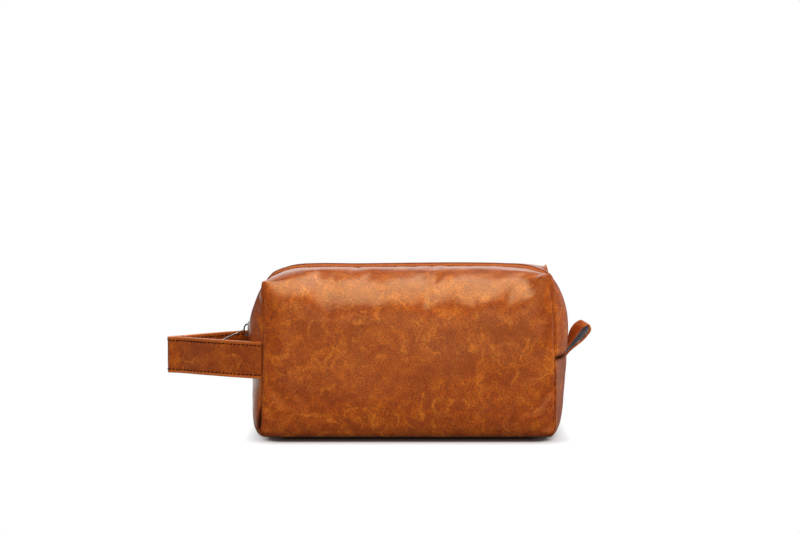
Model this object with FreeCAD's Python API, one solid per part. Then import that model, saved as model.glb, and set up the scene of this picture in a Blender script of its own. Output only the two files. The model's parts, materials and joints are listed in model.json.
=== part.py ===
"""Shaving kit bag: a soft box bag with a zip over its top, a strap loop and a side tab.

Millimetres, +Z up. The origin is the centre of the face the bag rests on, +X runs
along its length towards the side tab, and the front faces -Y.
"""

import FreeCAD, Part
import math
import os

V = FreeCAD.Vector

# Driving dimensions of the body
HALF_LENGTH = 120.0
HALF_DEPTH = 60.0
FRONT_HEIGHT = 129.0
CROWN_HEIGHT = 137.0
MID_SEAM_Z = 64.6
LEATHER = 1.6
PADDING = 1.0
LINING = 0.6
GAP = 0.1
SEAM_ALLOWANCE = 4.6
INNER_X = 90.0
WALL_MARGIN = 4.0
MARGIN_RISE = 3.4
MARGIN_OVERLAP = 1.2

# Bound seam allowances inside the ends
BINDING = 1.2
BINDING_WIDTH = 3.6
BINDING_REACH = 50.0
POST_WIDTH = 3.0
POST_DEPTH = 1.6

# The ends bulge outwards: (height, half length at the seams, bulge at mid depth)
END_SECTIONS = (
    (LEATHER + GAP, 120.0, 9.5),
    (MID_SEAM_Z, 120.0, 14.5),
    (92.0, 120.0, 14.5),
    (130.8, 118.5, 3.0),
)

# The mouth: each side turns about one line through the low ends of the zip
MOUTH_AXIS_Z = 84.0
MOUTH_INNER_RADIUS = 11.0
MOUTH_CLEARANCE = 1.0
FLAP_SWEEP = 58.0
LINING_SWEEP = 56.0
TAPE_SWEEP = 80.0
TEETH_SWEEP = 60.0
SEAM_FOLD_ANGLE = 54.0
CORNER_RADIUS = 54.0
FLAP_EDGE_Y = 31.0

# The zip's path: an end arc, a shoulder arc and a shallow crown
END_ARC_X = 58.0
END_ARC_Z = 80.0
END_ARC_RADIUS = 75.3
END_ARC_SWEEP = 40.0
SHOULDER_RADIUS = 14.0
TEETH_RADIUS = END_ARC_RADIUS - 1.3
ZIP_SLIT = 0.7
TEETH_DEPTHS = (0.3, 2.3)
TEETH_EDGE = 3.2
TAPE = 0.5
TAPE_EDGE = 13.0
LEATHER_EDGE = 6.7
SLOT_EDGE = 5.5

# The tape's tails and the stops at the ends of the zip
ZIP_TAIL = (66.0, 72.4)
TAIL_EDGE = 4.6
STOP_EDGE = 2.7
STOP_THICKNESS = 0.8
STOP_LENGTH = 3.0

# Slider and pull
SLIDER_HALF_WIDTH = 5.4
SLIDER_HALF_ANGLE = 5.4
SLIDER_POST_INSET = 0.2
PLATE_LOW = 1.4
PLATE_HIGH = 2.8
INNER_PLATE_HIGH = -1.4
INNER_PLATE_LOW = -2.5
BRIDGE_HALF_LENGTH = 6.6
BRIDGE_HEIGHT = 5.8
BRIDGE_BAR = 1.2
BRIDGE_HALF_WIDTH = 1.0
BRIDGE_ROOT = 0.5
PULL_PIVOT_OUT = 5.3
PULL_PIVOT_UP = -2.0
PULL_LENGTH = 30.0
PULL_WINDOW = 9.4
PULL_PLAY = 0.3
PULL_THICKNESS = 1.4
PULL_HALF_WIDTH = 2.9
PULL_SLOPE = 25.0

# Strap loop on the left end
STRAP_ROOT_X = 121.0
STRAP_ROOT_Y = 57.6
STRAP_REACH = 203.0
STRAP_LOW_Z = 47.5
STRAP_HIGH_Z = 78.5
STRAP_BACKING = 1.2
STRAP_HINGE_Y = 42.0
STRAP_HINGE_GAP = 0.2

# Tab loop on the right end
TAB_X = 135.2
TAB_HALF_WIDTH = 7.5
TAB_CENTRE = 24.0
TAB_RADIUS = 6.5
TAB_LEATHER = 1.5
TAB_BACKING = 0.8
TAB_SLOPE = 46.0

X_AXIS = V(1, 0, 0)
Y_AXIS = V(0, 1, 0)
ORIGIN = V(0, 0, 0)
BIG = 400.0


def box(x, y, z):
    """A block between the (low, high) pairs x, y and z."""
    return Part.makeBox(x[1] - x[0], y[1] - y[0], z[1] - z[0], V(x[0], y[0], z[0]))


def line(a, b):
    return Part.LineSegment(a, b).toShape()


def arc(a, b, c):
    return Part.Arc(a, b, c).toShape()


def rear(shape):
    return shape.mirror(ORIGIN, Y_AXIS)


def right(shape):
    return shape.mirror(ORIGIN, X_AXIS)


def prism(points, direction):
    """A flat polygon extruded along direction."""
    return Part.Face(Part.makePolygon(points + points[:1])).extrude(direction)


def save(name, *shapes):
    """Write one node from the solids of the given shapes."""
    solids = [solid for shape in shapes for solid in shape.Solids]
    whole = solids[0] if len(solids) == 1 else Part.makeCompound(solids)
    if not whole.isValid():
        raise ValueError(f"{name} is not a valid solid")
    whole.exportStep(f"parts/{name}.step")
    print(f"{name:26s} {len(solids)} solid(s) {whole.Volume:9.1f} mm3")


def end_section(height, half_length, bulge, inset):
    """Outline of the left end at one height, moved in by inset."""
    seam_x = inset - half_length
    front = V(seam_x, -HALF_DEPTH, height)
    middle = V(seam_x - bulge, 0, height)
    back = V(seam_x, HALF_DEPTH, height)
    inner_back = V(-INNER_X, HALF_DEPTH, height)
    inner_front = V(-INNER_X, -HALF_DEPTH, height)
    edges = [
        arc(front, middle, back),
        line(back, inner_back),
        line(inner_back, inner_front),
        line(inner_front, front),
    ]
    return Part.Wire(edges)


def end_block(inset):
    wires = [end_section(z, x, bulge, inset) for z, x, bulge in END_SECTIONS]
    return Part.makeLoft(wires, True, True)


def end_skin(inset, thickness):
    """Bulging skin of the whole left end."""
    skin = end_block(inset).cut(end_block(inset + thickness))
    depth = HALF_DEPTH - LEATHER - GAP
    return skin.common(box((-BIG, 0), (-depth, depth), (0, BIG)))


def from_mouth(angle, radius):
    """A point at a radius from the mouth's axis, on the front side, at x = 0."""
    turn = math.radians(angle)
    return V(0, -radius * math.sin(turn), MOUTH_AXIS_Z + radius * math.cos(turn))


def quarter_outline():
    """Side view of the fixed part of one upper end quarter, below its diagonal fold."""
    low_z = MID_SEAM_Z + GAP
    ring = MOUTH_INNER_RADIUS + MOUTH_CLEARANCE
    slot_top = V(0, -SLOT_EDGE, MOUTH_AXIS_Z - math.sqrt(ring**2 - SLOT_EDGE**2))
    flap_angle = math.degrees(math.asin(FLAP_EDGE_Y / CORNER_RADIUS))
    middle_angle = (SEAM_FOLD_ANGLE + flap_angle) / 2
    edge_top = V(0, -FLAP_EDGE_Y, FRONT_HEIGHT + MARGIN_OVERLAP)
    corner_top = V(0, -HALF_DEPTH, FRONT_HEIGHT - GAP)
    seam_low = V(0, -HALF_DEPTH, low_z)
    edges = [
        line(seam_low, V(0, -SLOT_EDGE, low_z)),
        line(V(0, -SLOT_EDGE, low_z), slot_top),
        arc(slot_top, from_mouth(90, ring), from_mouth(SEAM_FOLD_ANGLE, ring)),
        line(from_mouth(SEAM_FOLD_ANGLE, ring), from_mouth(SEAM_FOLD_ANGLE, CORNER_RADIUS)),
        arc(
            from_mouth(SEAM_FOLD_ANGLE, CORNER_RADIUS),
            from_mouth(middle_angle, CORNER_RADIUS),
            from_mouth(flap_angle, CORNER_RADIUS),
        ),
        line(from_mouth(flap_angle, CORNER_RADIUS), edge_top),
        line(edge_top, corner_top),
        line(corner_top, seam_low),
    ]
    return Part.Face(Part.Wire(edges)).extrude(V(-BIG, 0, 0))


def make_ends():
    skin = end_skin(0, LEATHER)
    lower = skin.common(box((-BIG, 0), (-BIG, BIG), (0, MID_SEAM_Z)))
    quarter = skin.common(quarter_outline())
    save("left_end_lower", lower)
    save("right_end_lower", right(lower))
    save("left_end_front_quarter", quarter)
    save("left_end_rear_quarter", rear(quarter))
    save("right_end_front_quarter", right(quarter))
    save("right_end_rear_quarter", rear(right(quarter)))


def make_panels():
    length = (-HALF_LENGTH + GAP, HALF_LENGTH - GAP)
    front = box(length, (-HALF_DEPTH, LEATHER - HALF_DEPTH), (LEATHER + GAP, FRONT_HEIGHT))
    save("front_panel", front)
    save("back_panel", rear(front))
    _, half, bulge = END_SECTIONS[0]
    front_left = V(-half, -HALF_DEPTH, 0)
    front_right = V(half, -HALF_DEPTH, 0)
    back_left = V(-half, HALF_DEPTH, 0)
    back_right = V(half, HALF_DEPTH, 0)
    outline = Part.Wire(
        [
            line(front_left, front_right),
            arc(front_right, V(half + bulge, 0, 0), back_right),
            line(back_right, back_left),
            arc(back_left, V(-half - bulge, 0, 0), front_left),
        ]
    )
    save("bottom_panel", Part.Face(outline).extrude(V(0, 0, LEATHER)))


def make_top_margins():
    """The fixed strip of the top beside each long fold, sloping up towards the zip."""
    x = 2 * GAP - END_SECTIONS[-1][1]
    fold_z = FRONT_HEIGHT + GAP
    edge_z = FRONT_HEIGHT + MARGIN_RISE
    section = [
        V(x, -HALF_DEPTH, fold_z),
        V(x, -FLAP_EDGE_Y, edge_z),
        V(x, -FLAP_EDGE_Y, edge_z + LEATHER),
        V(x, -HALF_DEPTH, fold_z + LEATHER),
    ]
    margin = prism(section, V(-2 * x, 0, 0))
    save("top_front_margin", margin)
    save("top_rear_margin", rear(margin))


def make_inside():
    """Padding against the leather, lining over it, and bound seam allowances."""
    padding_y = HALF_DEPTH - LEATHER - GAP
    lining_y = padding_y - PADDING - GAP
    padding_x = (SEAM_ALLOWANCE - HALF_LENGTH, HALF_LENGTH - SEAM_ALLOWANCE)
    wall_z = (WALL_MARGIN, FRONT_HEIGHT - WALL_MARGIN)
    padding = box(padding_x, (-padding_y, PADDING - padding_y), wall_z)
    lining = box(padding_x, (-lining_y, LINING - lining_y), wall_z)
    save("front_padding", padding)
    save("back_padding", rear(padding))
    save("front_lining", lining)
    save("back_lining", rear(lining))
    floor_y = (-padding_y, padding_y)
    board = box(padding_x, floor_y, (LEATHER + GAP, LEATHER + GAP + PADDING))
    save("bottom_board", board)
    lining_z = LEATHER + PADDING + 2 * GAP
    save("bottom_lining", box(padding_x, floor_y, (lining_z, lining_z + LINING)))

    inside_y = (LINING - lining_y + GAP, lining_y - LINING - GAP)
    skin = end_skin(LEATHER + GAP, LINING)
    end_lining = skin.common(box((-BIG, 0), inside_y, (lining_z, MID_SEAM_Z - WALL_MARGIN)))
    save("left_end_lining", end_lining)
    save("right_end_lining", right(end_lining))
    band = end_skin(LEATHER + GAP, BINDING)
    band_y = (-BINDING_REACH, BINDING_REACH)
    mid = band.common(box((-BIG, 0), band_y, (MID_SEAM_Z - BINDING_WIDTH, MID_SEAM_Z)))
    post_y = (inside_y[0], inside_y[0] + POST_DEPTH)
    post_x = (SEAM_ALLOWANCE - HALF_LENGTH, SEAM_ALLOWANCE + POST_WIDTH - HALF_LENGTH)
    post = box(post_x, post_y, wall_z)
    save("left_seam_bindings", mid, post, rear(post))
    save("right_seam_bindings", right(mid), right(post), right(rear(post)))


def end_arc_point(angle, radius):
    turn = math.radians(angle)
    return V(-END_ARC_X - radius * math.cos(turn), 0, END_ARC_Z + radius * math.sin(turn))


def shoulder_point(angle, depth):
    turn = math.radians(angle)
    centre = end_arc_point(END_ARC_SWEEP, END_ARC_RADIUS - SHOULDER_RADIUS)
    reach = SHOULDER_RADIUS - depth
    return centre + V(-reach * math.cos(turn), 0, reach * math.sin(turn))


def arch_edges(depth):
    """The arch over the bag at a depth under the leather's outer face, left to right."""
    radius = END_ARC_RADIUS - depth
    rise = MOUTH_AXIS_Z + MOUTH_INNER_RADIUS - END_ARC_Z
    start_angle = math.degrees(math.asin(rise / radius))
    middle_angle = (start_angle + END_ARC_SWEEP) / 2
    start = end_arc_point(start_angle, radius)
    knee = end_arc_point(END_ARC_SWEEP, radius)
    shoulder = shoulder_point((END_ARC_SWEEP + 90) / 2, depth)
    top = shoulder_point(90, depth)
    crown = V(0, 0, CROWN_HEIGHT - depth)
    left = [
        arc(start, end_arc_point(middle_angle, radius), knee),
        arc(knee, shoulder, top),
    ]
    over = arc(top, crown, V(-top.x, 0, top.z))
    return left + [over] + [right(edge) for edge in reversed(left)], start


def arch_layer(high, low, sweep, near, far):
    """One layer of the front side of the mouth, between two depths and two distances."""
    outer, outer_start = arch_edges(high)
    inner, inner_start = arch_edges(low)
    closing = [
        line(outer_start, inner_start),
        line(V(-outer_start.x, 0, outer_start.z), V(-inner_start.x, 0, inner_start.z)),
    ]
    loop = Part.Wire(Part.__sortEdges__(outer + inner + closing))
    axis_point = V(0, 0, MOUTH_AXIS_Z)
    turned = Part.Face(loop).revolve(axis_point, X_AXIS, sweep)
    return turned.common(box((-BIG, BIG), (-far, -near), (0, BIG)))


def make_mouth():
    """The moving half of each top flap with its end gussets, lining, tape and teeth."""
    tape_high = LEATHER + GAP
    tape_low = tape_high + TAPE
    lining_high = tape_low + GAP
    layers = {
        "flap": arch_layer(0, LEATHER, FLAP_SWEEP, LEATHER_EDGE, HALF_DEPTH),
        "flap_lining": arch_layer(
            lining_high, lining_high + LINING, LINING_SWEEP, LEATHER_EDGE, HALF_DEPTH
        ),
        "zip_tape": arch_layer(tape_high, tape_low, TAPE_SWEEP, TEETH_EDGE, TAPE_EDGE),
        "zip_teeth": arch_layer(*TEETH_DEPTHS, TEETH_SWEEP, ZIP_SLIT, TEETH_EDGE),
    }
    for name, shape in layers.items():
        save(f"front_{name}", shape)
        save(f"rear_{name}", rear(shape))


def make_zip_ends():
    """The tape's short ends below the slider, tucked into the mid seams, with stops."""
    x = END_ARC_X + TEETH_RADIUS
    tail = box((-x - TAPE, -x), (ZIP_SLIT, TAIL_EDGE), ZIP_TAIL)
    save("left_zip_tail", tail, rear(tail))
    save("right_zip_tail", right(tail), right(rear(tail)))
    stop_x = (-x - TAPE - STOP_THICKNESS, -x - TAPE)
    stop_z = (ZIP_TAIL[1] - STOP_LENGTH, ZIP_TAIL[1])
    top_stop = box(stop_x, (ZIP_SLIT, STOP_EDGE), stop_z)
    bottom_stop = right(box(stop_x, (-STOP_EDGE, STOP_EDGE), stop_z))
    save("zip_stops", top_stop, rear(top_stop), bottom_stop)


def slider_sector(low, high, half_width, start, end):
    """A curved block of the slider, between two offsets from the teeth's middle."""
    inner = END_ARC_X + TEETH_RADIUS + low
    outer = END_ARC_X + TEETH_RADIUS + high
    corners = [
        V(-inner, -half_width, END_ARC_Z),
        V(-outer, -half_width, END_ARC_Z),
        V(-outer, half_width, END_ARC_Z),
        V(-inner, half_width, END_ARC_Z),
    ]
    face = Part.Face(Part.makePolygon(corners + corners[:1]))
    pivot = V(-END_ARC_X, 0, END_ARC_Z)
    face.rotate(pivot, Y_AXIS, start)
    return face.revolve(pivot, Y_AXIS, end - start)


def slider_lift():
    """Angle up the end arc at which the slider rests."""
    return math.degrees(math.asin((MOUTH_AXIS_Z - END_ARC_Z) / TEETH_RADIUS))


def at_slider(shape):
    """Turn a shape made level with the end arc's centre up to the slider's place."""
    return shape.rotated(V(-END_ARC_X, 0, END_ARC_Z), Y_AXIS, slider_lift())


def make_slider():
    span = SLIDER_HALF_ANGLE
    outer = slider_sector(PLATE_LOW, PLATE_HIGH, SLIDER_HALF_WIDTH, -span, span)
    inner = slider_sector(INNER_PLATE_LOW, INNER_PLATE_HIGH, SLIDER_HALF_WIDTH, -span, span)
    post_half = ZIP_SLIT - SLIDER_POST_INSET
    post = slider_sector(INNER_PLATE_HIGH, PLATE_LOW, post_half, -span, -span / 2)
    save("zip_slider_body", at_slider(outer.fuse([inner, post]).removeSplitter()))

    base_x = END_ARC_X + TEETH_RADIUS + PLATE_HIGH
    chord = BRIDGE_HALF_LENGTH
    radius = (chord**2 + BRIDGE_HEIGHT**2) / (2 * BRIDGE_HEIGHT)
    centre_x = base_x + BRIDGE_HEIGHT - radius
    start = V(-centre_x, -BRIDGE_HALF_WIDTH, END_ARC_Z)
    width = 2 * BRIDGE_HALF_WIDTH
    disc = Part.makeCylinder(radius, width, start, Y_AXIS)
    hole = Part.makeCylinder(radius - BRIDGE_BAR, width, start, Y_AXIS)
    plate = slider_sector(-20, PLATE_HIGH, SLIDER_HALF_WIDTH, -60, 60)
    outside = box((-BIG, BRIDGE_ROOT - base_x), (-width, width), (0, BIG))
    bridge = disc.cut(hole).common(outside).cut(plate)
    save("zip_slider_bridge", at_slider(bridge))


def make_pull():
    """A flat tongue with a slot that runs over the bridge, and a cross bar inside it."""
    level = V(-END_ARC_X - TEETH_RADIUS - PULL_PIVOT_OUT, 0, END_ARC_Z + PULL_PIVOT_UP)
    pivot = at_slider(Part.Vertex(level)).Point
    half = PULL_THICKNESS / 2
    slot_half = BRIDGE_HALF_WIDTH + PULL_PLAY
    nose_x = PULL_HALF_WIDTH - PULL_LENGTH
    tongue = box((nose_x, 0), (-PULL_HALF_WIDTH, PULL_HALF_WIDTH), (-half, half))
    nose = Part.makeCylinder(PULL_HALF_WIDTH, PULL_THICKNESS, V(nose_x, 0, -half))
    slot = box((-PULL_WINDOW, 0), (-slot_half, slot_half), (-half, half))
    bar = Part.makeCylinder(half, 2 * PULL_HALF_WIDTH, V(0, -PULL_HALF_WIDTH, 0), Y_AXIS)
    pull = tongue.fuse(nose).cut(slot).fuse(bar).removeSplitter()
    pull.rotate(ORIGIN, Y_AXIS, -PULL_SLOPE)
    pull.translate(pivot)
    save("zip_pull", pull)


def strap_leg_point(inset, y):
    """A point on the front leg's outer face, moved in by inset, at a distance from y = 0."""
    run = STRAP_REACH - STRAP_ROOT_X
    length = math.hypot(run, STRAP_ROOT_Y)
    share = (STRAP_ROOT_Y - y) / STRAP_ROOT_Y
    outer_x = STRAP_ROOT_X + run * share
    return V(-outer_x + inset * length / STRAP_ROOT_Y, -y, STRAP_LOW_Z)


def strap_leg(high, low, near, far):
    """One layer of the front leg between two distances from the middle plane."""
    section = [
        strap_leg_point(high, far),
        strap_leg_point(high, near),
        strap_leg_point(low, near),
        strap_leg_point(low, far),
    ]
    return prism(section, V(0, 0, STRAP_HIGH_Z - STRAP_LOW_Z))


def make_strap():
    """One strip folded in half; its sewn ends stay with the bag and the loop swings."""
    backing_low = LEATHER + GAP + STRAP_BACKING
    leather = strap_leg(0, LEATHER, 0, STRAP_HINGE_Y)
    backing = strap_leg(LEATHER + GAP, backing_low, 0, STRAP_HINGE_Y)
    save("carry_strap_leather", leather.fuse(rear(leather)).removeSplitter())
    save("carry_strap_backing", backing.fuse(rear(backing)).removeSplitter())
    root_near = STRAP_HINGE_Y + STRAP_HINGE_GAP
    root = strap_leg(0, backing_low, root_near, STRAP_ROOT_Y).cut(end_block(-GAP))
    save("front_strap_end", root)
    save("rear_strap_end", rear(root))


def teardrop(radius):
    """Side view of the tab's loop: a round end drawn in to a point, along +X."""
    half_angle = math.asin(TAB_RADIUS / TAB_CENTRE)
    point = V(TAB_CENTRE - radius / math.sin(half_angle), 0, 0)
    touch_x = TAB_CENTRE - radius * math.sin(half_angle)
    touch_z = radius * math.cos(half_angle)
    edges = [
        line(point, V(touch_x, 0, touch_z)),
        arc(V(touch_x, 0, touch_z), V(TAB_CENTRE + radius, 0, 0), V(touch_x, 0, -touch_z)),
        line(V(touch_x, 0, -touch_z), point),
    ]
    solid = Part.Face(Part.Wire(edges)).extrude(V(0, 2 * TAB_HALF_WIDTH, 0))
    solid.rotate(ORIGIN, Y_AXIS, -TAB_SLOPE)
    solid.translate(V(TAB_X, -TAB_HALF_WIDTH, MID_SEAM_Z))
    return solid


def make_tab():
    inside = TAB_RADIUS - TAB_LEATHER
    save("side_tab_leather", teardrop(TAB_RADIUS).cut(teardrop(inside)))
    backing = teardrop(inside - GAP).cut(teardrop(inside - GAP - TAB_BACKING))
    save("side_tab_backing", backing)


os.makedirs("parts", exist_ok=True)
make_panels()
make_ends()
make_top_margins()
make_inside()
make_mouth()
make_zip_ends()
make_slider()
make_pull()
make_strap()
make_tab()
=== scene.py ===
"""The looks of the shaving kit bag: leather shell, zip, lining, strap loop and side tab.

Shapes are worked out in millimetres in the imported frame's axes (+X along the bag
towards the tab, front facing -Y, +Z up) and scaled by MM as each mesh is made.
"""

import json
import math

import bmesh
import bpy
import numpy as np
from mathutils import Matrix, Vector, noise


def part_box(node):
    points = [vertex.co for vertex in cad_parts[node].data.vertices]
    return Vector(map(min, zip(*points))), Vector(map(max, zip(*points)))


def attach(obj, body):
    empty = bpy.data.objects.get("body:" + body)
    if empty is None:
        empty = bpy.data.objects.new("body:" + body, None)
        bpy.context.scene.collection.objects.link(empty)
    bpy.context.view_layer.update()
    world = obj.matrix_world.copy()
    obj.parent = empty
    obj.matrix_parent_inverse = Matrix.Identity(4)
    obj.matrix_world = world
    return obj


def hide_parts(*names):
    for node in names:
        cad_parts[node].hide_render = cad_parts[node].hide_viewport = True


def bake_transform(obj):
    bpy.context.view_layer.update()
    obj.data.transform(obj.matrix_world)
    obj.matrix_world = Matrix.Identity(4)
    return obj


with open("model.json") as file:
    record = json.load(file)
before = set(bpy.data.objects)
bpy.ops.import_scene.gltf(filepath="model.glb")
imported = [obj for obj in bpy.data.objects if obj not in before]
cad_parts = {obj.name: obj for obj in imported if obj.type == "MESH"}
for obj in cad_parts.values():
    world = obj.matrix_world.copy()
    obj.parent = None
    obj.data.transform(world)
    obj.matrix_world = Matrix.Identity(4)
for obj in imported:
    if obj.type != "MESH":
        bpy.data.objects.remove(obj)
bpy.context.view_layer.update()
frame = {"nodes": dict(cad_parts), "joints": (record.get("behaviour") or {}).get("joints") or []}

MM = 0.001


def node_box(name):
    """Lowest and highest corner of a CAD node in millimetres."""
    low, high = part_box(name)
    return np.array(low) / MM, np.array(high) / MM


# Driving sizes, from the frame
panel_low, panel_high = node_box("front_panel")
HALF_DEPTH = -panel_low[1]
HALF_LENGTH = panel_high[0]
MID_SEAM_Z = node_box("left_end_lower")[1][2]
CROWN_Z = node_box("front_flap")[1][2]
STRAP_TIP_X = node_box("carry_strap_leather")[0][0]
STRAP_LOW_Z, STRAP_HIGH_Z = (corner[2] for corner in node_box("carry_strap_leather"))
joints = {joint["name"]: joint for joint in frame["joints"]}
TAB_ROOT = np.array(joints["tab_flap"]["pos_m"]) / MM
PULL_PIVOT = np.array(joints["pull_swing"]["pos_m"]) / MM

# Leather and lining
THICKNESS = 1.5
LINING_DEPTH = 3.0
CLOTH_THICKNESS = 0.5
STEP = 3.0
SEAM_STEPS = (0.0, 0.7, 1.6, 3.0)
SEAM_DEPTH = 1.5
SEAM_WIDTH = 1.3
SEAM_GAP = 0.15
UNDER_RADIUS = 5.0
UNDER_TUCK = 9.0
GROUND = 0.25
FLAP_EDGE_Y = 6.2

# Cloth: a sheet may move by the cap, and only by a tenth of it on the top
CLOTH_SCALE = 10.0
CLOTH_FRAMES = 24
CLOTH_CAP = 6.0
TOP_GIVE = 0.1
CLOTH_SETTINGS = {
    "quality": 6,
    "mass": 0.3,
    "tension_stiffness": 25,
    "compression_stiffness": 25,
    "shear_stiffness": 12,
    "bending_stiffness": 3.0,
    "air_damping": 2.0,
    "shrink_min": -0.02,
    "use_pressure": True,
    "uniform_pressure_force": 3.0,
    "vertex_group_mass": "held",
}

# The rear half mirrors the front; each half's wall has its own name in the frame
FLIP = {"front": -1, "rear": 1}
WALL = {"front": "front", "rear": "back"}

# Slider and pull
ZIP_LENGTH = 370.0
SLIDER_LENGTH = 11.5
SLIDER_HALF_WIDTH = 4.6
SLIDER_OUT = 1.9
SLIDER_STEPS = 6
PLATE = 0.6
BRIDGE_RADIUS = 0.68
BRIDGE_OUT = 0.9
BRIDGE_DROP = 1.6
# The bridge from its low end up: (share of its reach, share of its half height)
BRIDGE_POINTS = (
    (0.0, -1.0), (0.55, -0.86), (0.95, -0.4), (1.0, 0.1), (0.85, 0.6), (0.45, 0.92), (0.0, 1.0)
)
PULL_SLOPE = math.radians(25)
PULL_EYE = 4.0
PULL_LENGTH = 29.5
PULL_HALF_THICKNESS = 0.55
# The pull's tongue: (distance from the bridge, half width)
PULL_ROWS = (
    (PULL_EYE, 1.2),
    (PULL_EYE + 2.5, 1.5),
    (PULL_EYE + 8.0, 1.75),
    (PULL_EYE + 16.0, 2.15),
    (PULL_LENGTH - 3.0, 2.5),
    (PULL_LENGTH - 0.9, 2.2),
    (PULL_LENGTH, 1.2),
)
EYE_HALF_WIDTH = 1.75
EYE_WIRE = 0.5


# ---- curves


def spline(points, count):
    """Evenly spaced points along a smooth curve through the given points."""
    p = np.array(points, float)
    knots = distances(p)
    slopes = np.gradient(p, knots, axis=0)
    at = np.linspace(0, knots[-1], 60 * len(p))
    i = np.clip(np.searchsorted(knots, at, side="right") - 1, 0, len(p) - 2)
    span = (knots[i + 1] - knots[i])[:, None]
    u = (at - knots[i])[:, None] / span
    blend_in = u * u * (3 - 2 * u)
    curve = (1 - blend_in) * p[i] + blend_in * p[i + 1]
    curve += (u * (1 - u) ** 2) * span * slopes[i] - (u * u * (1 - u)) * span * slopes[i + 1]
    return resample(curve, count)


def distances(curve):
    """How far along a curve made of short straight pieces each of its points lies."""
    return np.r_[0, np.cumsum(np.linalg.norm(np.diff(curve, axis=0), axis=1))]


def look_up(places, along, rows):
    """Rows of numbers at some places, between the rows given at the places along."""
    return np.stack([np.interp(places, along, column) for column in rows.T], -1)


def resample(curve, count):
    """Evenly spaced points along a curve made of short straight pieces."""
    lengths = distances(curve)
    return look_up(np.linspace(0, lengths[-1], count), lengths, curve)


def mix(a, b, share):
    """The value a share of the way from a to b."""
    return a + (b - a) * share


def smooth(low, high, value):
    """0 at low, 1 at high, and a soft step between; low may be the larger of the two."""
    t = np.clip((value - low) / (high - low), 0, 1)
    return t * t * (3 - 2 * t)


def side_normals(line):
    """Unit normals to the right of a flat curve, seen along it."""
    tangent = np.gradient(line, axis=0)
    tangent /= np.linalg.norm(tangent, axis=1)[:, None]
    return np.stack([tangent[:, 1], -tangent[:, 0]], 1)


def spaced(length):
    """Shares from 0 to 1 along a side, closer together beside the seam at each end."""
    near = np.array(SEAM_STEPS) / length
    inner = np.linspace(near[-1], 1 - near[-1], round((length - 2 * SEAM_STEPS[-1]) / STEP) + 1)
    return np.r_[near[:-1], inner, 1 - near[-2::-1]]


def wobble(points, size, height, seed):
    """Smooth seeded noise at each point, for hand-made unevenness."""
    offset = Vector((seed * 7.3, seed * 3.1, seed * 5.7))
    values = [noise.noise(Vector(p) / size + offset) for p in points.reshape(-1, 3)]
    return height * np.array(values).reshape(points.shape[:-1])


# ---- the bag's outline

# The zip's centre line, up the left end, over the top and down the right end: (x, height)
ZIP_POINTS = (
    (-130.0, 66.4), (-131.4, 80.0), (-130.8, 92.0), (-128.8, 100.0), (-126.0, 107.0),
    (-122.6, 114.0), (-119.0, 120.6), (-115.6, 126.2), (-111.6, 130.2), (-105.5, 132.9),
    (-97.5, 135.8), (-88.0, CROWN_Z + 0.8), (-78.0, CROWN_Z + 1.2), (-40.0, CROWN_Z + 1.1),
    (0.0, CROWN_Z + 1.6), (40.0, CROWN_Z + 1.9), (80.0, CROWN_Z + 1.3),
    (97.0, 136.8), (107.5, 134.0), (115.0, 130.8), (121.0, 125.0), (125.8, 117.5),
    (129.4, 109.0), (131.6, 100.0), (132.4, 91.0), (132.2, 80.0), (130.6, 66.4),
)
# How much of the zip's length each end takes, up to the shoulder
SHOULDER_SHARE = 0.168


def zip_line(count):
    """The zip's centre line in the plane y = 0, from the left mid seam to the right one."""
    return spline(ZIP_POINTS, count)


def zip_at(shares, inset):
    """Points (x, z) at shares of the zip's length, moved in towards the bag by inset."""
    line = zip_line(1200)
    return look_up(shares, np.linspace(0, 1, len(line)), line + side_normals(line) * inset)


def on_top(shares):
    """1 where the zip runs over the top and 0 where it runs down the ends."""
    return smooth(0.12, 0.24, shares) * smooth(0.12, 0.24, 1 - shares)


def leather_arch(shares):
    """Points (x, z) of the leather's edge, just inside the zip's centre line."""
    line = zip_at(shares, 0)
    lift = 1.0 + 1.3 * on_top(shares)
    return line + (zip_at(shares, 1) - line) * lift[:, None]


# Each end's vertical seams: (height, distance from the middle, distance from y = 0)
SEAMS = {
    -1: ((0.0, 117.2, 57.5), (8.0, 119.6, 59.6), (40.0, 118.6, 60.0), (95.0, 117.9, 59.8)),
    1: ((0.0, 117.0, 57.5), (8.0, 119.6, 59.6), (40.0, 120.2, 60.0), (95.0, 119.0, 59.6)),
}
# The seams' top corners (height, distance out, depth), at the left and right end of each half
CORNERS = {
    "front": {-1: (127.0, 117.4, 57.5), 1: (134.8, 115.2, 57.0)},
    "rear": {-1: (125.0, 115.6, 56.0), 1: (134.0, 119.6, 57.0)},
}
# How far from each corner the long fold takes to settle to its own height
CORNER_REACH = {"front": {-1: 9.0, 1: 14.0}, "rear": {-1: 5.0, 1: 26.0}}
FOLD_Z = {"front": 130.6, "rear": 131.6}
FOLD_Y = -47.0
FOLD_DRAW = 20.0
FOLD_WAVE_Z = 120.0
TOP_FLATNESS = 3.6
LEAN_START_Z = 109.0


def seam_points(side, heights, half="front"):
    """Points of an end's vertical seam at some heights, on the side of y below 0."""
    rows = np.array(SEAMS[side] + (CORNERS[half][side],))
    out, depth = look_up(heights, rows[:, 0], rows[:, 1:]).T
    return np.stack([out * side, -depth, heights], -1)


def corner(side, half):
    """Where one vertical seam of a half meets its long fold."""
    return seam_points(side, CORNERS[half][side][0], half)


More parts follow.
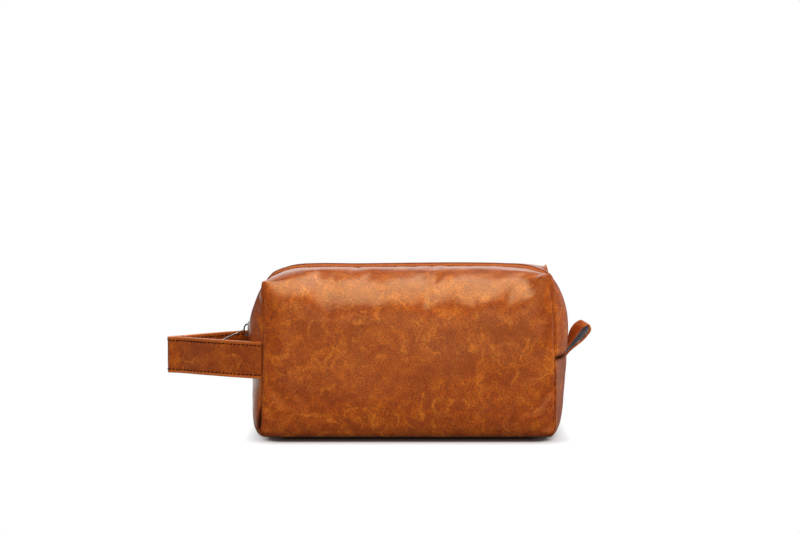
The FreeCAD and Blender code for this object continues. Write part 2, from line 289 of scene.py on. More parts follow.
def fold_line(shares, half, seed):
    """The long fold between a wall and the top, from the left corner to the right."""
    left, right = corner(-1, half), corner(1, half)
    x = mix(left[0], right[0], shares)
    from_left, from_right = np.maximum(x - left[0], 0), np.maximum(right[0] - x, 0)
    reach, level = CORNER_REACH[half], FOLD_Z[half]
    z = level + (left[2] - level) * np.exp(-from_left / reach[-1])
    z += (right[2] - level) * np.exp(-from_right / reach[1])
    y = FOLD_Y + (left[1] - FOLD_Y) * np.exp(-((from_left / FOLD_DRAW) ** 1.2))
    y += (right[1] - FOLD_Y) * np.exp(-((from_right / FOLD_DRAW) ** 1.2))
    points = np.stack([x, y, z], -1)
    ends = smooth(6, 40, np.minimum(from_left, from_right))
    points[:, 2] += ends * wobble(points, 30, 1.4, seed)
    points[:, 1] += ends * wobble(points, 30, 3.0, seed + 1)
    return points


# How squarely each end is filled near the floor: the power of its bulge's outline
LOW_FULLNESS = {-1: 7.0, 1: 3.0}
# Height and width of the slit where each end's front seam gapes above the floor
OPEN_SEAMS = {-1: (38.0, 3.2), 1: (30.0, 0.8)}
GAPE_DEPTH = 0.5
# Each end's bulge at mid depth: (height, distance beyond its seams)
BULGES = {
    -1: ((0, 5.4), (10, 7.2), (28, 8.8), (42, 11.2), (MID_SEAM_Z, 12.0)),
    1: ((0, 4.6), (6, 6.2), (38, 10.6), (MID_SEAM_Z, 13.0)),
}


def end_bulge(side, height):
    """How far an end stands out at mid depth, beyond its seams."""
    return np.interp(height, *np.array(BULGES[side]).T)


# ---- mesh helpers


def link(name, data):
    """A new object in the scene."""
    piece = bpy.data.objects.new(name, data)
    bpy.context.scene.collection.objects.link(piece)
    return piece


def build_mesh(name, points, faces):
    mesh = bpy.data.meshes.new(name)
    mesh.from_pydata((np.asarray(points) * MM).tolist(), [], faces)
    mesh.shade_smooth()
    return link(name, mesh)


def tidy_mesh(piece, join=0.0):
    """Join points that lie closer than join and turn all faces the same way."""
    bm = bmesh.new()
    bm.from_mesh(piece.data)
    if join:
        bmesh.ops.remove_doubles(bm, verts=bm.verts, dist=join * MM)
    bmesh.ops.recalc_face_normals(bm, faces=bm.faces)
    bm.to_mesh(piece.data)
    bm.free()
    piece.data.shade_smooth()


def sheet(name, *grids):
    """One sheet from grids of points, joined where their edges meet, facing outwards."""
    points, faces = [], []
    for grid in grids:
        start, (rows, columns, _) = len(points), grid.shape
        points.extend(grid.reshape(-1, 3))
        index = start + np.arange(rows * columns).reshape(rows, columns)
        quads = np.stack([index[:-1, :-1], index[:-1, 1:], index[1:, 1:], index[1:, :-1]], -1)
        faces.extend(quads.reshape(-1, 4).tolist())
    piece = build_mesh(name, points, faces)
    tidy_mesh(piece, 0.02)
    middle = Vector((0, 0, MID_SEAM_Z * MM))
    if sum((face.center - middle).dot(face.normal) * face.area for face in piece.data.polygons) < 0:
        piece.data.flip_normals()
    return piece


def get_points(piece):
    points = np.zeros(len(piece.data.vertices) * 3)
    piece.data.vertices.foreach_get("co", points)
    return points.reshape(-1, 3) / MM


def set_points(piece, points):
    piece.data.vertices.foreach_set("co", (points * MM).astype(np.float32).ravel())
    piece.data.update()


def get_normals(piece):
    return np.array([v.normal for v in piece.data.vertices])


def relax(piece, weights, steps):
    """Move each point towards the middle of its neighbours, by its weight."""
    points = get_points(piece)
    edges = np.array([e.vertices[:] for e in piece.data.edges])
    count = np.bincount(edges.ravel(), minlength=len(points))[:, None]
    for _ in range(steps):
        total = np.zeros_like(points)
        np.add.at(total, edges[:, 0], points[edges[:, 1]])
        np.add.at(total, edges[:, 1], points[edges[:, 0]])
        points += weights[:, None] * (total / count - points)
    set_points(piece, points)


def mark(piece, name, values):
    """Store a value from 0 to 1 at each point, for the leather's colour to use."""
    attribute = piece.data.attributes.new(name, "FLOAT", "POINT")
    attribute.data.foreach_set("value", values.astype(np.float32))


def remember_rest(piece):
    """Store where each point rests, so that a pattern stays on the leather as it bends."""
    rest = piece.data.attributes.new("rest", "FLOAT_VECTOR", "POINT")
    rest.data.foreach_set("vector", (get_points(piece) * MM).astype(np.float32).ravel())


def dress(piece, material):
    """Give a piece its material and a pattern that stays on it."""
    remember_rest(piece)
    piece.data.materials.clear()
    piece.data.materials.append(MATERIALS[material])


def add_modifier(piece, kind, **settings):
    modifier = piece.modifiers.new(kind.lower(), kind)
    for key, value in settings.items():
        setattr(modifier, key, value)
    return modifier


def apply_modifiers(piece):
    depsgraph = bpy.context.evaluated_depsgraph_get()
    mesh = bpy.data.meshes.new_from_object(piece.evaluated_get(depsgraph))
    piece.modifiers.clear()
    piece.data = mesh
    mesh.name = piece.name


def mirror_rear(points):
    return points * np.array([1, -1, 1])


def inner_copy(shell, name):
    """A copy of a leather sheet, moved in to where its lining lies."""
    piece = link(name, shell.data.copy())
    set_points(piece, get_points(shell) - get_normals(shell) * LINING_DEPTH)
    return piece


def instances(name, points, faces, places):
    """One mesh of many copies of a small shape. Each place is (origin, 3x3 axes)."""
    all_points = np.concatenate([points @ axes + origin for origin, axes in places])
    count = len(points)
    all_faces = [tuple(v + k * count for v in f) for k in range(len(places)) for f in faces]
    return build_mesh(name, all_points, all_faces)


def circle(count):
    """Evenly spaced points (cosine, sine) round a full turn."""
    turns = np.linspace(0, 2 * math.pi, count, endpoint=False)
    return [(math.cos(t), math.sin(t)) for t in turns]


def capsule(length, radius, flat=1.0, sides=8, rings=3):
    """Points and faces of a rounded rod along x."""
    half = max(length / 2 - radius, 0.0)
    turns = np.linspace(0.12, math.pi / 2, rings)
    rows = [(-half - radius * math.cos(t), radius * math.sin(t)) for t in turns]
    rows += [(-x, size) for x, size in reversed(rows)]
    points = [(x, size * a, flat * size * b) for x, size in rows for a, b in circle(sides)]
    return np.array(points), tube_faces(len(rows), sides)


def tube_faces(rings, around):
    """Faces of a closed tube of rings of points, with its two end caps last."""
    faces = []
    for row in range(rings - 1):
        for k in range(around):
            after = (k + 1) % around
            a, b = row * around + k, row * around + after
            faces.append((a, b, b + around, a + around))
    faces.append(tuple(reversed(range(around))))
    faces.append(tuple((rings - 1) * around + k for k in range(around)))
    return faces


def tube(name, rings):
    """A closed tube through rings of points."""
    rings = np.array(rings)
    return build_mesh(name, rings.reshape(-1, 3), tube_faces(*rings.shape[:2]))


STITCH_SLANT = math.radians(7)


def axes_along(tangent, normal):
    """Rows: along, across and out, as unit vectors."""
    tangent = tangent / np.linalg.norm(tangent)
    across = np.cross(normal, tangent)
    across /= np.linalg.norm(across)
    return np.array([tangent, across, np.cross(tangent, across)])


def stitch_row(name, line, normals, pitch, radius):
    """Slanted stitches along a line that lies on the leather, sunk a little into it."""
    lengths = distances(line)
    shape, faces = capsule(pitch * 0.74, radius, 0.8)
    cosine, sine = math.cos(STITCH_SLANT), math.sin(STITCH_SLANT)
    places = []
    for at in np.arange(pitch * 0.6, lengths[-1] - pitch * 0.4, pitch):
        k = min(int(np.searchsorted(lengths, at)), len(line) - 1)
        origin = look_up(at, lengths, line)
        along, across, out = axes_along(line[k] - line[k - 1], normals[k])
        slanted = np.array([along * cosine + across * sine, across * cosine - along * sine, out])
        places.append((origin + normals[k] * radius * 0.25, slanted))
    return instances(name, shape, faces, places)


# ---- the leather shell


def under_turn():
    """(height, distance in) of rows round the turn under the bag, from the lowest up."""
    turns = np.linspace(math.pi / 2, 0, 6)
    return [(UNDER_RADIUS * (1 - math.sin(a)), UNDER_RADIUS * (1 - math.cos(a))) for a in turns]


def front_grid(half, seed):
    """The front panel, from under the bag up to the top fold, in rows of points."""
    columns = spaced(2 * HALF_LENGTH)
    fold = fold_line(columns, half, seed)
    grid = []
    for z, tuck in [(0.0, UNDER_TUCK)] + under_turn():
        row = mix(seam_points(-1, z, half), seam_points(1, z, half), columns[:, None])
        row[:, 1] = -HALF_DEPTH + tuck
        row[:, 2] = z + GROUND
        grid.append(row)
    start_z = UNDER_RADIUS + GROUND
    left_top, right_top = corner(-1, half), corner(1, half)
    top_y = mix(left_top[1], right_top[1], columns)
    for share in np.linspace(0, 1, round((left_top[2] - start_z) / STEP) + 1)[1:]:
        left = seam_points(-1, mix(start_z, left_top[2], share), half)
        right = seam_points(1, mix(start_z, right_top[2], share), half)
        row = mix(left, right, columns[:, None])
        row[:, 2] = mix(start_z, fold[:, 2], share)
        lean = np.clip((row[:, 2] - LEAN_START_Z) / (fold[:, 2] - LEAN_START_Z), 0, 1) ** 2
        row[:, 1] += (fold[:, 1] - top_y) * lean
        grid.append(row)
    return np.array(grid)


def strip_grid(half, seed):
    """One side of the top with the upper quarters of both ends, up to the zip."""
    fold = fold_line(spaced(2 * HALF_LENGTH), half, seed)
    left_top, right_top = corner(-1, half)[2], corner(1, half)[2]
    rise = np.linspace(0, 1, round((left_top - MID_SEAM_Z) / STEP) + 1)
    left = seam_points(-1, mix(MID_SEAM_Z, left_top, rise), half)
    right = seam_points(1, mix(right_top, MID_SEAM_Z, rise), half)
    outer = np.concatenate([left[:-1], fold, right[1:]])
    over = (fold[:, 0] - fold[0, 0]) / (fold[-1, 0] - fold[0, 0])
    shares = np.r_[
        SHOULDER_SHARE * rise[:-1],
        mix(SHOULDER_SHARE, 1 - SHOULDER_SHARE, over),
        mix(1 - SHOULDER_SHARE, 1, rise[1:]),
    ]
    edge = leather_arch(shares)
    edge_y = -FLAP_EDGE_Y + 2.2 * (1 - smooth(0, 0.05, np.minimum(shares, 1 - shares)))
    zip_edge = np.stack([edge[:, 0], edge_y, edge[:, 1]], 1)
    grid = []
    for t in spaced(HALF_DEPTH - FLAP_EDGE_Y):
        row = mix(outer, zip_edge, 1 - (1 - t) ** TOP_FLATNESS)
        row[:, 1] = mix(outer[:, 1], zip_edge[:, 1], t)
        grid.append(row)
    grid = np.array(grid)
    quarter = len(rise) - 1
    grid[0, :quarter, 0] -= SEAM_GAP
    grid[0, -quarter:, 0] += SEAM_GAP
    return grid


def from_seam(points, side, half):
    """From the nearest point of one vertical seam of a half to each point."""
    top = CORNERS[half][side][0]
    return points - seam_points(side, np.clip(points[:, 2], 0, top), half)


def seam_groove(points, side, half="front"):
    """Depth of the groove along the vertical seam on one side of the bag."""
    top = CORNERS[half][side][0]
    distance = np.linalg.norm(from_seam(points, side, half)[:, :2], axis=1)
    below_corner = 1 - smooth(top - 16, top - 3, points[:, 2])
    return np.exp(-((distance / SEAM_WIDTH) ** 2)) * mix(0.15, 1.0, below_corner)


def mid_groove(points):
    """Depth of the groove where the end quarters meet the lower ends."""
    x, _, z = points.T
    on_end = smooth(HALF_LENGTH - 2, HALF_LENGTH + 1, np.abs(x))
    return on_end * np.exp(-(((z - MID_SEAM_Z) / (SEAM_WIDTH * 1.3)) ** 2))


def round_the_fold(piece):
    """Soften the long fold and the ends' shoulders, and leave seams and zip edges alone."""
    x, y, z = get_points(piece).T
    along = smooth(0, 12, HALF_LENGTH - 3 - np.abs(x))
    near = np.exp(-(((y - FOLD_Y) / 18) ** 2 + ((z - FOLD_Z["front"]) / 15) ** 2))
    fold = near * mix(0.02, 1.0, along)
    shoulder = smooth(96, 108, np.abs(x)) * smooth(112, 122, z)
    shoulder *= smooth(-FLAP_EDGE_Y - 1, -FLAP_EDGE_Y - 9, y) * smooth(-56, -44, y)
    relax(piece, np.clip(np.maximum(fold, 0.5 * shoulder), 0, 1) * 0.5, 14)


def held_points(points, half):
    """Which points of a half are sewn or pressed down: seams, zip edge, mid seams and base."""
    x, y, z = points.T
    held = (z < UNDER_RADIUS + GROUND + 0.5) | (y > -FLAP_EDGE_Y - 1.2)
    held |= (np.abs(x) > HALF_LENGTH + 1.5) & (np.abs(z - MID_SEAM_Z) < 1.0)
    for side in (-1, 1):
        held |= np.linalg.norm(from_seam(points, side, half), axis=1) < 0.9
    return held


def blow_out(piece, held):
    """Press a sheet outwards between its held points as cloth, at ten times its size."""
    start = get_points(piece)
    model = link("cloth_model", piece.data.copy())
    set_points(model, start * CLOTH_SCALE)
    group = model.vertex_groups.new(name="held")
    group.add(np.flatnonzero(held).tolist(), 1.0, "REPLACE")
    cloth = model.modifiers.new("cloth", "CLOTH")
    for key, value in CLOTH_SETTINGS.items():
        setattr(cloth.settings, key, value)
    cloth.settings.effector_weights.gravity = 0
    cloth.point_cache.frame_start = 1
    cloth.point_cache.frame_end = CLOTH_FRAMES
    for frame_number in range(1, CLOTH_FRAMES + 1):
        bpy.context.scene.frame_set(frame_number)
    result = model.evaluated_get(bpy.context.evaluated_depsgraph_get()).data
    moved = np.zeros(len(start) * 3)
    result.vertices.foreach_get("co", moved)
    moved = moved.reshape(-1, 3) / MM / CLOTH_SCALE - start
    far = np.linalg.norm(moved, axis=1)[:, None] + 1e-9
    allowed = CLOTH_CAP * mix(1.0, TOP_GIVE, smooth(-46, -30, start[:, 1]))[:, None]
    set_points(piece, start + moved * allowed * np.tanh(far / allowed) / far)
    bpy.data.objects.remove(model)
    bpy.context.scene.frame_set(1)


def shape_shell(piece, half, seed):
    """Fill, dents and seam grooves of one half of the shell, with painted shade in the grooves and
    along the bottom.
    """
    round_the_fold(piece)
    points, normals = get_points(piece), get_normals(piece)
    x, y, z = points.T
    free = smooth(0, 14, HALF_LENGTH + 1 - np.abs(x)) * smooth(2, 16, z)
    free *= smooth(FLAP_EDGE_Y, FLAP_EDGE_Y + 10, -y)
    dents = wobble(points, 38, 1.3, seed + 2) + wobble(points, 15, 0.35, seed + 3)
    near_fold = np.exp(-(((z - FOLD_WAVE_Z) / 16) ** 2)) * smooth(-20, -40, y)
    dents += near_fold * wobble(points * np.array([1.0, 0.6, 0.8]), 27, 3.5, seed + 6)
    points += normals * (free * dents)[:, None]
    set_points(piece, points)
    blow_out(piece, held_points(points, half))
    points = get_points(piece)
    sides = [seam_groove(points, side, half) for side in (-1, 1)]
    groove = np.maximum.reduce([*sides, mid_groove(points)])
    points -= get_normals(piece) * (SEAM_DEPTH * groove)[:, None]
    set_points(piece, points)
    # Painted shade: the seam mark darkens the leather's colour in the grooves and towards the bottom
    # edge.
    base_shade = 0.5 * smooth(11, 2, points[:, 2])
    mark(piece, "seam", np.maximum(0.5 * groove**2 + 0.5 * mid_groove(points) ** 2, base_shade))


def finish_leather(piece, levels=1):
    """Smooth a leather sheet, dress it and give it its thickness inwards."""
    add_modifier(piece, "SUBSURF", levels=levels, render_levels=levels)
    apply_modifiers(piece)
    dress(piece, "leather")
    add_modifier(piece, "SOLIDIFY", thickness=THICKNESS * MM, offset=-1.0, use_quality_normals=True)


def bend_mouth(piece):
    """Bake the piece's transform into its points."""
    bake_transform(piece)


def make_shell_half(half, seed):
    """One half's leather, from under the bag up to the zip, and the lining inside it."""
    piece = sheet(f"{half}_leather", front_grid(half, seed), strip_grid(half, seed))
    shape_shell(piece, half, seed)
    if half == "rear":
        set_points(piece, mirror_rear(get_points(piece)))
        piece.data.flip_normals()
    make_half_lining(piece, half)
    finish_leather(piece)
    bend_mouth(piece)
    wall = (f"{WALL[half]}_panel", f"{WALL[half]}_padding")
    quarters = (f"left_end_{half}_quarter", f"right_end_{half}_quarter")
    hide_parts(*wall, f"top_{half}_margin", f"{half}_flap", *quarters)


def make_half_lining(shell, half):
    depth = np.abs(get_points(shell)[:, 1]) / HALF_DEPTH
    piece = inner_copy(shell, f"{half}_inner_lining")
    relax(piece, 0.4 * np.minimum(1, depth), 6)
    dress(piece, "lining")
    add_modifier(piece, "SOLIDIFY", thickness=CLOTH_THICKNESS * MM, offset=-1.0)
    bend_mouth(piece)
    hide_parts(f"{WALL[half]}_lining", f"{half}_flap_lining")


def lower_end_grid(side):
    """The lower part of one end, from its mid seam down and under the bag."""
    depth = spaced(2 * HALF_DEPTH)
    rows = [(z, 0.0) for z in np.linspace(MID_SEAM_Z, UNDER_RADIUS + GROUND, 20)]
    rows += [(z + GROUND, tuck) for z, tuck in under_turn()[-2::-1]]
    rows.append((GROUND, UNDER_TUCK))
    grid = []
    for z, tuck in rows:
        seam = seam_points(side, max(z, UNDER_RADIUS))
        y = mix(seam[1] + tuck, -seam[1] - tuck, depth)
        fullness = mix(LOW_FULLNESS[side], 2.0, smooth(16, 44, z))
        bulge = end_bulge(side, z) * (1 - np.abs(y / HALF_DEPTH) ** fullness)
        x = side * (abs(seam[0]) - tuck + bulge)
        grid.append(np.stack([x, y, np.full_like(x, z)], -1))
    return np.array(grid)


def open_seam(points, side):
    """Where the end's leather falls back from the front seam into a slit, which is darkened with
    painted shade.
    """
    x, y, z = points.T
    tall, reach = OPEN_SEAMS[side]
    width = reach * smooth(2, 8, z) * smooth(tall, 10, z)
    beyond = np.abs(x) - np.abs(seam_points(side, z)[:, 0])
    on_front = smooth(-HALF_DEPTH + 24, -HALF_DEPTH + 16, y)
    return on_front * smooth(1.0, 0.6, beyond / np.maximum(width, 0.01)) * smooth(0.2, 1.0, width)


def make_lower_end(side):
    name = "left" if side < 0 else "right"
    piece = sheet(f"{name}_lower_end_leather", lower_end_grid(side))
    points, normals = get_points(piece), get_normals(piece)
    _, y, z = points.T
    free = smooth(0, 14, HALF_DEPTH - np.abs(y)) * smooth(3, 14, z) * smooth(2, 14, MID_SEAM_Z - z)
    dents = wobble(points, 30, 1.4, 11 + side) + wobble(points, 13, 0.4, 13 + side)
    points += normals * (free * dents)[:, None]
    grooves = (seam_groove(points, side), seam_groove(mirror_rear(points), side), mid_groove(points))
    groove = np.maximum.reduce(grooves)
    points -= normals * (SEAM_DEPTH * groove)[:, None]
    gape = open_seam(points, side)
    points[:, 0] -= side * GAPE_DEPTH * gape
    set_points(piece, points)
    # Painted shade: the seam mark darkens the grooves and the gaping slit.
    mark(piece, "seam", np.maximum(groove**2, gape))
    lining = inner_copy(piece, f"{name}_end_inner_lining")
    dress(lining, "lining")
    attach(lining, "root")
    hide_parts(f"{name}_end_lining", f"{name}_seam_bindings")
    finish_leather(piece)
    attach(piece, "root")
    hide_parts(f"{name}_end_lower")


BOTTOM_INSET_X = 6.0
BOTTOM_INSET_Y = 8.3
BOTTOM_Z = 0.3
BOTTOM_LINING_RISE = 3.2


def make_bottom():
    """The flat bottom inside the turned-under walls, and the lining above it."""
    rows = []
    for y in np.linspace(BOTTOM_INSET_Y - HALF_DEPTH, HALF_DEPTH - BOTTOM_INSET_Y, 41):
        reach = HALF_LENGTH - BOTTOM_INSET_X + end_bulge(1, 0) * (1 - (y / HALF_DEPTH) ** 2)
        x = np.linspace(-reach, reach, round(2 * HALF_LENGTH / STEP))
        rows.append(np.stack([x, np.full_like(x, y), np.full_like(x, BOTTOM_Z)], -1))
    grid = np.array(rows)
    from_edge = 1 - np.abs(grid[..., 0]) / np.abs(grid[:, :1, 0])
    grid[..., 2] += 0.5 * smooth(0.0, 1.0, 1 - np.minimum(1, from_edge * 40))
    piece = sheet("bottom_leather", grid)
    finish_leather(piece, levels=0)
    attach(piece, "root")
    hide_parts("bottom_panel", "bottom_board")
    floor = sheet("bottom_inner_lining", grid + np.array([0, 0, BOTTOM_LINING_RISE]))
    puffed = get_points(floor)
    puffed[:, 2] += wobble(puffed, 24, 0.8, 21)
    set_points(floor, puffed)
    dress(floor, "lining")
    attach(floor, "root")
    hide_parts("bottom_lining")


# ---- the zip


def zip_frames(shares):
    """Points on the zip's centre line with their outward normals, in 3-D."""
    line = zip_at(shares, 0)
    outward = zip_at(shares, -1) - line
    return np.insert(line, 1, 0.0, axis=1), np.insert(outward, 1, 0.0, axis=1)


# The tape's section: (distance from the middle, depth below the zip's centre line)
TAPE_SECTION = ((12.5, 3.6), (8.0, 3.3), (6.2, 2.7), (4.4, 0.9), (3.0, 0.25), (1.0, 0.0))
TOOTH_PITCH = 1.7
TOOTH_SIZE = (3.3, 0.5, 1.1)
TOOTH_Y = 1.25


def make_tape(half):
    shares = np.linspace(0, 1, 220)
    points, normals = zip_frames(shares)
    lift = 0.6 + 0.4 * on_top(shares)
    grid = np.array([
        points + np.array([0, FLIP[half] * y, 0]) - normals * (depth * lift)[:, None]
        for y, depth in spline(TAPE_SECTION, 12)
    ])
    piece = sheet(f"{half}_tape", grid)
    dress(piece, "zip_tape")
    add_modifier(piece, "SOLIDIFY", thickness=CLOTH_THICKNESS * MM, offset=-1.0)
    bend_mouth(piece)
    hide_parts(f"{half}_zip_tape")


def make_teeth(half):
    """Every second tooth of the zip; the other half has those between."""
    count = 2 * int(distances(zip_line(600))[-1] / TOOTH_PITCH)
    points, normals = zip_frames(np.linspace(0, 1, count))
    across = np.array([0, 1.0, 0])
    places = []
    for k in range(1 if half == "rear" else 0, count, 2):
        axes = np.array([across, np.cross(normals[k], across), normals[k]])
        places.append((points[k] + across * FLIP[half] * TOOTH_Y + normals[k] * 0.1, axes))
    piece = instances(f"{half}_teeth", *capsule(*TOOTH_SIZE), places)
    dress(piece, "zip_teeth")
    bend_mouth(piece)
    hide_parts(f"{half}_zip_teeth")


def make_topstitch(half):
    shares = np.linspace(0.03, 0.97, 900)
    _, normals = zip_frames(shares)
    line = np.insert(leather_arch(shares), 1, FLIP[half] * (FLAP_EDGE_Y + 1.9), axis=1)
    piece = stitch_row(f"{half}_zip_stitching", line + normals * 0.2, normals, 3.4, 0.44)
    dress(piece, "thread")
    bend_mouth(piece)


# ---- strap and tab

STRAP_ROOT = (-118.2, 58.8)
STRAP_THICKNESS = 3.0
STRAP_STITCH_INSET = 3.0


def strap_line(count):
    """The strap's middle line seen from above, from the front seam round to the rear one."""
    half = [
        (STRAP_ROOT[0] + 2.0, -STRAP_ROOT[1] + 0.3),
        (STRAP_ROOT[0] - 20.0, -STRAP_ROOT[1] + 13.2),
        (STRAP_ROOT[0] - 50.0, -STRAP_ROOT[1] + 34.8),
        (STRAP_TIP_X + 10.5, -4.6),
        (STRAP_TIP_X + 5.2, -2.0),
    ]
    tip = (STRAP_TIP_X + 3.8, 0.0)
    rear_half = [(x, -y) for x, y in reversed(half)]
    return spline(half + [tip] + rear_half, count)


def droop_at(x):
    """The free end of the loop hangs slightly."""
    reach = (STRAP_ROOT[0] - x) / (STRAP_ROOT[0] - STRAP_TIP_X)
    return -1.0 * np.clip(reach, 0, 1) ** 2


def rounded_section(half_height, half_thickness, corner, edge_swell):
    """Outline of a strap's section: (across the strap, out), with rounded, swollen edges."""
    outline = []
    for sign_z, sign_n, first in ((1, 1, 90), (1, -1, 0), (-1, -1, -90), (-1, 1, 180)):
        centre = (sign_z * (half_height - corner), sign_n * (half_thickness - corner))
        for turn in np.radians(np.linspace(first, first - 90, 5)):
            outline.append((centre[0] + corner * math.cos(turn), centre[1] + corner * math.sin(turn)))
    rows = []
    for (z, n), (z2, n2) in zip(outline, outline[1:] + outline[:1]):
        steps = 14 if abs(z2 - z) > half_height else 1
        for k in range(steps):
            rows.append((mix(z, z2, k / steps), mix(n, n2, k / steps)))
    rows = np.array(rows)
    from_edge = half_height - np.abs(rows[:, 0])
    channel = np.exp(-(((from_edge - STRAP_STITCH_INSET) / 1.1) ** 2))
    swell = edge_swell * np.exp(-((from_edge / STRAP_STITCH_INSET) ** 2)) - 0.35 * channel
    rows[:, 1] += np.sign(rows[:, 1]) * np.where(np.abs(rows[:, 1]) > 0.8 * half_thickness, swell, 0)
    return rows


def make_strap():
    middle = (STRAP_LOW_Z + STRAP_HIGH_Z) / 2
    half = (STRAP_HIGH_Z - STRAP_LOW_Z) / 2 - 0.4
    line = strap_line(150)
    outward = side_normals(line)
    droop = droop_at(line[:, 0])
    section = rounded_section(half, STRAP_THICKNESS / 2, 0.9, 0.25)
    rings = np.array([
        [(x + n * nx, y + n * ny, middle + z + low) for z, n in section]
        for (x, y), (nx, ny), low in zip(line, outward, droop)
    ])
    rings[:, :, :2] += wobble(rings, 22, 0.35, 31)[:, :, None] * outward[:, None, :]
    piece = tube("strap_leather", rings)
    add_modifier(piece, "SUBSURF", levels=1, render_levels=1)
    apply_modifiers(piece)
    dress(piece, "leather")
    points = get_points(piece)
    from_edge = half - np.abs(points[:, 2] - middle - droop_at(points[:, 0]))
    mark(piece, "edge", smooth(2.6, 1.6, from_edge))
    # Painted shade: the seam mark darkens the strap where it goes into the end's seam.
    mark(piece, "seam", 0.7 * smooth(STRAP_ROOT[0] - 1.0, STRAP_ROOT[0], points[:, 0]))
    bend_strap(piece)
    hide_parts("carry_strap_leather", "carry_strap_backing", "front_strap_end", "rear_strap_end")
    for label, height in (("upper", half - STRAP_STITCH_INSET), ("lower", STRAP_STITCH_INSET - half)):
        for face, sign in (("outer", 1), ("inner", -1)):
            spots = line + outward * sign * (STRAP_THICKNESS / 2 - 0.15)
            spots = np.column_stack([spots, middle + height + droop])
            normals = np.insert(sign * outward, 2, 0.0, axis=1)
            row = stitch_row(f"strap_{label}_{face}_stitching", spots[1:-1], normals[1:-1], 4.0, 0.5)
            dress(row, "thread")
            bend_strap(row)


def bend_strap(piece):
    """Bake the piece's transform into its points."""
    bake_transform(piece)


TAB_WIDTH = 12.0
TAB_SLOPE = math.radians(54)
TAB_TWIST = np.array((-0.42, 0.85, 0.24))
TAB_SEAM = TAB_ROOT + np.array((-3.2, 0, 0))
# The loop in its own plane, out along the top, round the end and back: (along, up)
TAB_POINTS = (
    (-3.0, 0.6), (4.0, 1.1), (11.0, 2.2), (18.0, 3.3), (24.5, 2.9), (28.2, 0.8),
    (26.8, -1.7), (20.0, -2.3), (12.0, -1.8), (4.0, -1.0), (-3.0, -0.6),
)


def tab_strip(low, high, half_width):
    """Rings of a thin strip that follows the loop, twisting towards its end."""
    path = spline(TAB_POINTS, 90)
    along = np.array((math.cos(TAB_SLOPE), 0, math.sin(TAB_SLOPE)))
    up = np.array((-math.sin(TAB_SLOPE), 0, math.cos(TAB_SLOPE)))
    twist = TAB_TWIST / np.linalg.norm(TAB_TWIST)
    section = rounded_strip_section(half_width, low, high)
    rings = []
    for (a, b), (na, nb) in zip(path, -side_normals(path)):
        width_axis = mix(np.array((0, 1.0, 0)), twist, smooth(0, 20, a))
        width_axis /= np.linalg.norm(width_axis)
        centre = TAB_SEAM + along * a + up * b
        normal = along * na + up * nb
        rings.append([centre + width_axis * w + normal * d for w, d in section])
    return rings


def rounded_strip_section(half_width, low, high):
    """Outline of a flat strip with round edges: (across, out)."""
    middle, half = (low + high) / 2, (high - low) / 2
    outline = []
    for side, face in ((1, high), (-1, low)):
        centre = side * (half_width - half)
        for turn in np.linspace(-math.pi / 2, math.pi / 2, 5):
            across, out = side * half * math.cos(turn), side * half * math.sin(turn)
            outline.append((centre + across, middle + out))
        outline += [(mix(centre, -centre, k / 6), face) for k in range(1, 6)]
    return outline


def make_tab():
    half = TAB_WIDTH / 2
    for material, low, high, width, backing in (
        ("leather", 0.0, 1.5, half, "leather"),
        ("webbing", -0.75, -0.02, half - 0.7, "backing"),
    ):
        piece = tube(f"tab_{material}", tab_strip(low, high, width))
        tidy_mesh(piece)
        dress(piece, material)
        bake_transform(piece)
        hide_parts(f"side_tab_{backing}")


# ---- materials


class Nodes:
    """Small helper for writing the nodes of a material or of the world."""

    def __init__(self, owner, shader="Principled BSDF"):
        owner.use_nodes = True
        self.owner = owner
        self.tree = owner.node_tree
        self.shader = self.tree.nodes[shader]

    def add(self, kind, inputs=None, **settings):
        node = self.tree.nodes.new(kind)
        for key, value in settings.items():
            setattr(node, key, value)
        for key, value in (inputs or {}).items():
            self.put(value, node.inputs[key])
        return node

    def put(self, value, socket):
        if isinstance(value, bpy.types.NodeSocket):
            self.tree.links.new(value, socket)
        else:
            socket.default_value = value

    def attribute(self, name):
        return self.add("ShaderNodeAttribute", attribute_name=name)

    def rest(self):
        return self.attribute("rest").outputs["Vector"]

    def place(self):
        return self.add("ShaderNodeTexCoord").outputs["Object"]

    def split(self, vector):
        return self.add("ShaderNodeSeparateXYZ", {"Vector": vector}).outputs

    def noise(self, where, scale, detail=3.0, roughness=0.5, distortion=0.0):
        inputs = {"Vector": where, "Scale": scale, "Detail": detail}
        inputs |= {"Roughness": roughness, "Distortion": distortion}
        return self.add("ShaderNodeTexNoise", inputs).outputs["Fac"]

    def ramp(self, value, *stops):
        node = self.add("ShaderNodeValToRGB", {"Fac": value})
        elements = node.color_ramp.elements
        while len(elements) < len(stops):
            elements.new(0.5)
        for element, (place, colour) in zip(elements, stops):
            element.position = place
            element.color = (*colour, 1)
        return node.outputs["Color"]

    def shade(self, value, low, high):
        """A grey ramp from black at low to white at high."""
        return self.ramp(value, (low, (0, 0, 0)), (high, (1, 1, 1)))

    def math(self, operation, a, b=0.0):
        return self.add("ShaderNodeMath", {0: a, 1: b}, operation=operation).outputs[0]

    def times(self, a, b):
        return self.math("MULTIPLY", a, b)

    def paint(self, share, base, colour):
        """A share of one plain colour over a base."""
        inputs = {0: share, 6: base, 7: (*colour, 1)}
        return self.add("ShaderNodeMix", inputs, data_type="RGBA").outputs[2]

    def bump(self, height, strength, distance, normal=None):
        inputs = {"Height": height, "Strength": strength, "Distance": distance}
        if normal is not None:
            inputs["Normal"] = normal
        return self.add("ShaderNodeBump", inputs).outputs["Normal"]

    def finish(self, **inputs):
        for key, value in inputs.items():
            self.put(value, self.shader.inputs[key.replace("_", " ")])
        return self.owner


def linear(red, green, blue):
    """A screen colour, 0 to 255, as linear light."""
    values = [c / 255 for c in (red, green, blue)]
    return tuple(c / 12.92 if c <= 0.04045 else ((c + 0.055) / 1.055) ** 2.4 for c in values)


